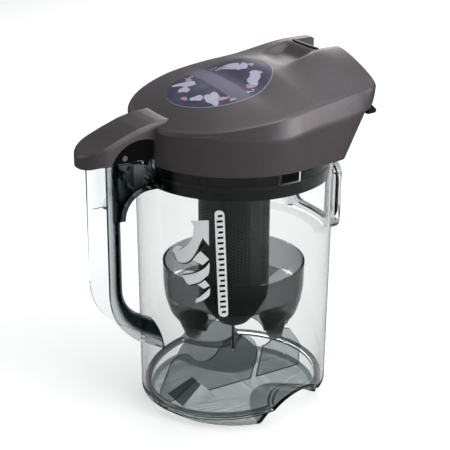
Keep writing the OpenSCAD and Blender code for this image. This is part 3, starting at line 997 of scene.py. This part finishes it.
def makeArrow():
    sheets = [
        wallStrip("shaft", [(-68.6, 143.6), (-64.6, 145.2), (-59.5, 150.2), (-55.6, 157.5), (-54.6, 167.6)],
                  [(-68.5, 142.6), (-66.3, 137.6), (-62.2, 135.9), (-56.5, 140.2), (-49.4, 158.6)]),
        wallStrip("head", [(-56.7, 170.6), (-51.2, 171.9), (-45.9, 173)],
                  [(-45.8, 153.2), (-45.8, 163), (-45.85, 172.8)], along=8),
        wallStrip("curl", [(-68.6, 144.2), (-66.4, 148.3), (-62.5, 149.4)],
                  [(-68.4, 143.8), (-65.4, 144.4), (-62.4, 148.6)], along=10),
        wallStrip("backOne", [(-56.2, 140.6), (-50.6, 148.1)], [(-49.4, 137.4), (-45.7, 142.6)], along=10),
        wallStrip("ribbonTwo", [(-45.6, 141.9), (-48.6, 136), (-54.6, 130.8), (-61.9, 127.0)],
                  [(-45.4, 136), (-46.6, 129.2), (-51.4, 123.3), (-57.8, 119.8), (-61.8, 125.0)]),
        wallStrip("curlTwo", [(-62.3, 127.4), (-59.4, 130.8), (-54.7, 131.2)],
                  [(-62.1, 127.1), (-58.2, 128.0), (-54.6, 130.9)], along=10),
        wallStrip("backTwo", [(-53.6, 121.9), (-48.9, 126.6)], [(-48.8, 118.6), (-45.4, 121.6)], along=10),
        wallStrip("ribbonThree", [(-45.3, 121.0), (-48.4, 116.4), (-52.9, 110.6), (-53.9, 106.4)],
                  [(-45.2, 117.6), (-45.9, 113.4), (-49.4, 109.2), (-53.8, 106.2)]),
    ]
    arrow = joinAll("airflowArrow", sheets)
    finishPiece(arrow, "bin", silverPrint, ["airflow_decal"])
    lines = [
        outline("edgeOne", [(-68.4, 142.8), (-66.3, 137.8), (-62.2, 136.1), (-56.5, 140.4), (-49.4, 155.1)]),
        outline("edgeTwo", [(-62.2, 127.2), (-54.6, 130.9), (-48.8, 136.2), (-45.9, 141.8)]),
        outline("edgeThree", [(-57.6, 119.8), (-51.4, 123.5), (-46.9, 129.2)]),
        outline("edgeFour", [(-53.1, 110.8), (-48.6, 116.6), (-45.7, 120.9)]),
    ]
    return finishPiece(joinAll("airflowOutline", lines), "bin", blackPlastic)


gauge = {
    "top": (-40.0, 181.2),
    "bottom": (-37.5, 97.2),
    "half": 2.75,  # degrees
    "marks": 19,
}


def makeGauge():
    (ta, tz), (ba, bz) = gauge["top"], gauge["bottom"]
    half = gauge["half"]
    wide = math.radians(half) * prints["radius"]

    def place(u, v):
        z = lerp(bz, tz, v)
        middle = lerp(ba, ta, v)
        near = min(z - bz, tz - z)
        room = math.sqrt(max(0.0, 1 - max(0.0, 1 - near / wide) ** 2))
        turn = math.radians(middle + (u * 2 - 1) * half * room)
        radius = prints["radius"] + (z - 140) * 0.0099
        return radius * math.cos(turn), radius * math.sin(turn), z

    strip = formSheet("gaugeBar", 10, 140, place)
    cleanMesh(strip)
    useModifier(strip, "SOLIDIFY", thickness=prints["thick"] * mm, offset=0)
    finishPiece(strip, "bin", silverPrint, ["gauge_decal"])
    marks = []
    for k in range(gauge["marks"]):
        t = (k + 1) / (gauge["marks"] + 1)
        z, middle = lerp(bz, tz, t), lerp(ba, ta, t)
        side = 1.65 if k % 3 else 0.9
        marks.append(wallStrip("mark", [(middle - side, z - 1.2), (middle - side, z + 0.5)],
                               [(middle + 1.65, z - 0.6), (middle + 1.65, z + 1.1)], 0.14, 1, 6))
    return finishPiece(joinAll("gaugeMarks", marks), "bin", blackPlastic)


makeArrow()
makeGauge()
print("prints modelled")


# small pictures and figures on the label

labelInk = grainyFinish("labelInk", (0.36, 0.38, 0.55), (0.66, 0.62, 0.74), (0.3, 0.4), 0.0006, 0.03)
labelTint = grainyFinish("labelTint", (0.40, 0.22, 0.33), (0.55, 0.36, 0.46), (0.3, 0.4), 0.0008, 0.03)

badge = {
    "ink": [  # x, y, half length, half width, turn in degrees
        (-16, 20, 9.5, 4.6, 20), (-7, 24, 5.5, 4.4, -30), (20, 17, 9, 4.4, -35), (12, 23, 5, 4, 10),
        (-21, -17, 9.5, 4.4, 35), (-12, -23, 5.5, 4, -10), (20, -18, 10, 5.2, -20), (10, -25, 5, 4, 40),
    ],
    "tint": [
        (-22, 15, 4.5, 2.4, 60), (25, 11, 4, 2.4, 20), (-26, -11, 4, 2.2, -20), (26, -13, 4.5, 2.4, 60),
        (-3, 29, 3.5, 1.8, 0), (2, -31, 4, 1.8, 0),
    ],
    "figures": [("1", -29, 12), ("2", 31, 7), ("3", -31, -8), ("4", 32, -9)],
    "figureSize": 8.5,
}


def labelBlob(x, y, long, wide, turn, lift):
    cx, cy = label["centre"]
    c, s = math.cos(math.radians(turn)), math.sin(math.radians(turn))

    def place(u, v):
        angle = 2 * math.pi * u
        wave = 1 + 0.16 * math.sin(3 * angle + x) + 0.08 * math.sin(5 * angle + y)
        a, b = long * v * wave * math.cos(angle), wide * v * wave * math.sin(angle)
        return onLid(cx + x + a * c - b * s, cy + y + a * s + b * c, lift)

    blob = formSheet("blob", 28, 4, place)
    cleanMesh(blob)
    useModifier(blob, "SOLIDIFY", thickness=0.08 * mm, offset=0)
    return blob


def makeBadge():
    ink = joinAll("labelPictures", [labelBlob(*spot, label["proud"] + 0.09) for spot in badge["ink"]])
    finishPiece(ink, "lid", labelInk)
    tint = joinAll("labelTints", [labelBlob(*spot, label["proud"] + 0.14) for spot in badge["tint"]])
    finishPiece(tint, "lid", labelTint)
    figures = []
    for figure, x, y in badge["figures"]:
        deselectAll()
        bpy.ops.object.text_add()
        text = bpy.context.object
        text.data.body = figure
        text.data.size = badge["figureSize"] * mm
        text.data.extrude = 0.04 * mm
        text.data.align_x = "CENTER"
        text.data.align_y = "CENTER"
        bpy.ops.object.convert(target="MESH")
        text = bpy.context.object
        cx, cy = label["centre"]
        for vert in text.data.vertices:
            px, py = vert.co.x / mm + cx + x, vert.co.y / mm + cy + y
            lift = label["proud"] + 0.09 + vert.co.z / mm
            vert.co = Vector(onLid(px, py, lift)) * mm
        figures.append(text)
    return finishPiece(joinAll("labelFigures", figures), "lid", labelInk)


makeBadge()
print("label printed")


# CAD nodes that keep their shape

nodeFinish = {
    "bin_shell": clearPlastic, "inlet_frame": clearPlastic, "scroll_ledge": hazePlastic,
    "catch_frames": clearPlastic, "bin_handle": smokePlastic, "handle_foot": smokePlastic,
    "base_fin_front": finPlastic, "base_fin_rear": finPlastic, "floor_pocket": pocketPlastic,
    "separator_skirt": cupPlastic, "skirt_cones": cupPlastic, "handle_pins": darkSmoke,
    "catch_block": pocketPlastic, "inlet_seal": softRubber, "ring_seal": softRubber,
    "airflow_decal": silverPrint, "gauge_decal": silverPrint, "lid_plate": satinBlack,
    "exhaust_filter": filterFoam, "inner_filter": blackPlastic, "outlet_grille": satinBlack,
    "rear_tab": satinBlack, "latch_cheeks": blackPlastic, "lever_pin": turnedSteel,
    "lever_spring": turnedSteel, "separator_ring": blackPlastic, "side_lugs": blackPlastic,
    "release_lever": satinBlack, "filter_grille": satinBlack, "lower_dome": satinBlack,
    "guide_pin": shroudBlack, "lid_cover": lidPaint, "lid_label": lidPaint,
}
for nodeName, nodeMaterial in nodeFinish.items():
    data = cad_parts[nodeName].data
    data.materials.clear()
    data.materials.append(nodeMaterial)
print("finishes given")
